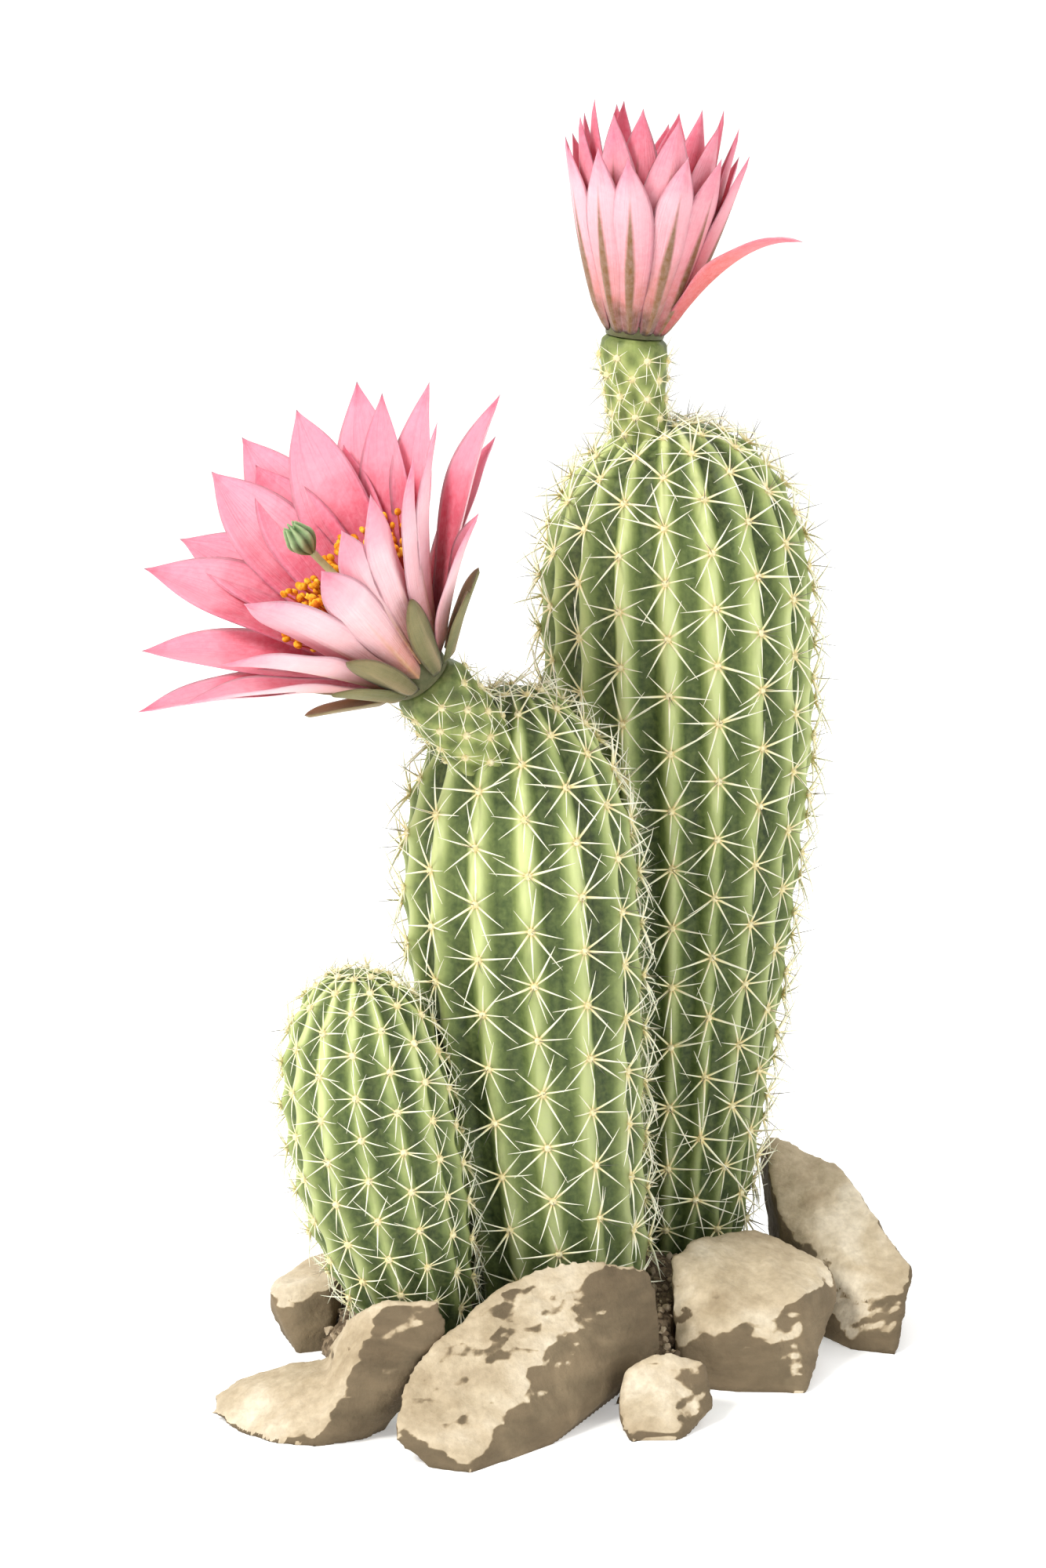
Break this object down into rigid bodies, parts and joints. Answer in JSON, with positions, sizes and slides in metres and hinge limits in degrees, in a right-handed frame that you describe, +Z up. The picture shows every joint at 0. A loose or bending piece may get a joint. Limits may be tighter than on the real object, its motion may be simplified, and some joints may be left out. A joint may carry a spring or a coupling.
{
  "type": "hedgehog cactus",
  "caption": "Clump of ribbed, spiny cactus stems standing in a bed of grit ringed by stones, with one half-closed and one wide-open pink bloom on spiny green tubes.",
  "frame": {"origin": "on the flat underside of the grit bed, below the middle stem", "axes": "+Z up along the stems, the front of the clump toward -Y, the tall stem toward +X"},
  "size_m": [0.1843, 0.1689, 0.2994],
  "materials": {
    "cactus_skin": "satin waxy skin, mid green with light rib crests and cream spines",
    "tube_skin": "satin waxy skin, yellow-green with cream spines",
    "petal": "soft satin pink, paler outside and deeper toward the centre",
    "sepal": "matte olive brown",
    "anther": "matte orange-yellow pollen on dark red filaments",
    "stigma": "satin green",
    "sandstone": "rough tan stone",
    "grit": "matte brown grit"
  },
  "bodies": {
    "root": {"stem_tall": "cactus_skin", "stem_middle": "cactus_skin", "stem_small": "cactus_skin", "tube_upright": "tube_skin", "tube_open": "tube_skin", "petals_upright": "petal", "stamens_upright": "anther", "pistil_upright": "stigma", "sepals_open": "sepal", "petals_open": "petal", "stamens_open": "anther", "pistil_open": "stigma", "grit_bed": "grit", "stone_front": "sandstone", "stone_front_left": "sandstone", "stone_small": "sandstone", "stone_left": "sandstone", "stone_right": "sandstone", "stone_back_right": "sandstone", "stone_rear": "sandstone", "stone_rear_left": "sandstone"}
  },
  "joints": []
}
